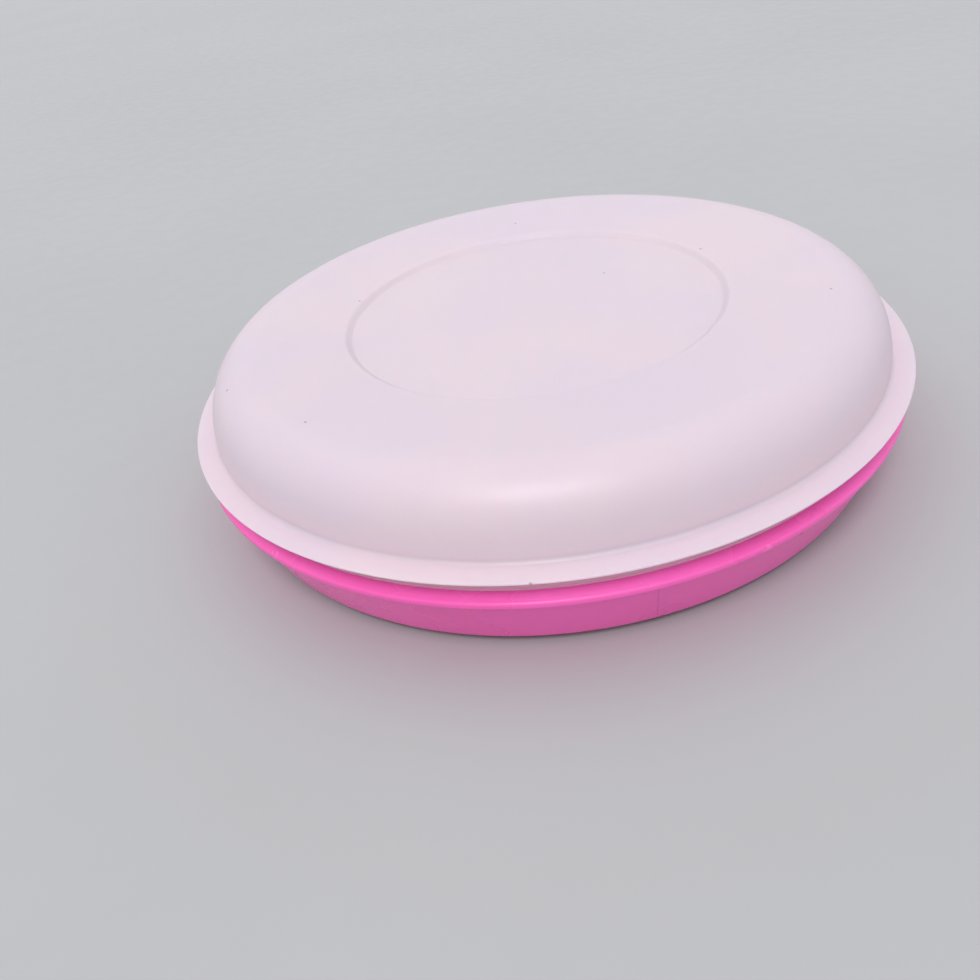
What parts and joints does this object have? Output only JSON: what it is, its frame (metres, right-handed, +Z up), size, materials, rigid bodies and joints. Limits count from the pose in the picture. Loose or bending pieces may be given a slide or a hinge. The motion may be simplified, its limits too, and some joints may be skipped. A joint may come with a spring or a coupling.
{
  "type": "chip and dip server",
  "caption": "Round covered serving tray with a chip trough, a sealed dip bowl in the middle and a sheer domed cover that lifts off.",
  "frame": {"origin": "on the server's axis, on the plane that the tray's foot ring stands on", "axes": "+Z up along the axis, from the tray to the cover; -Y towards the front, where the seal's pull tab points; +X to the right"},
  "size_m": [0.3, 0.3, 0.0648],
  "materials": {
    "tray_pink": "satin moulded plastic, bright pink",
    "bowl_pink": "satin moulded plastic, bright pink",
    "seal_sheer": "sheer frosted plastic, see-through",
    "cover_sheer": "sheer frosted plastic, see-through"
  },
  "bodies": {
    "tray": {"serving_tray": "tray_pink"},
    "bowl": {"dip_bowl": "bowl_pink"},
    "seal": {"dip_seal": "seal_sheer"},
    "cover": {"domed_cover": "cover_sheer"}
  },
  "joints": [
    {"name": "bowl_lift", "type": "slide", "parent": "tray", "child": "bowl", "axis": [0, 0, 1], "range_m": [0, 0.08]},
    {"name": "seal_lift", "type": "slide", "parent": "bowl", "child": "seal", "axis": [0, 0, 1], "range_m": [0, 0.06]},
    {"name": "cover_lift", "type": "slide", "parent": "seal", "child": "cover", "axis": [0, 0, 1], "range_m": [0, 0.12]}
  ]
}
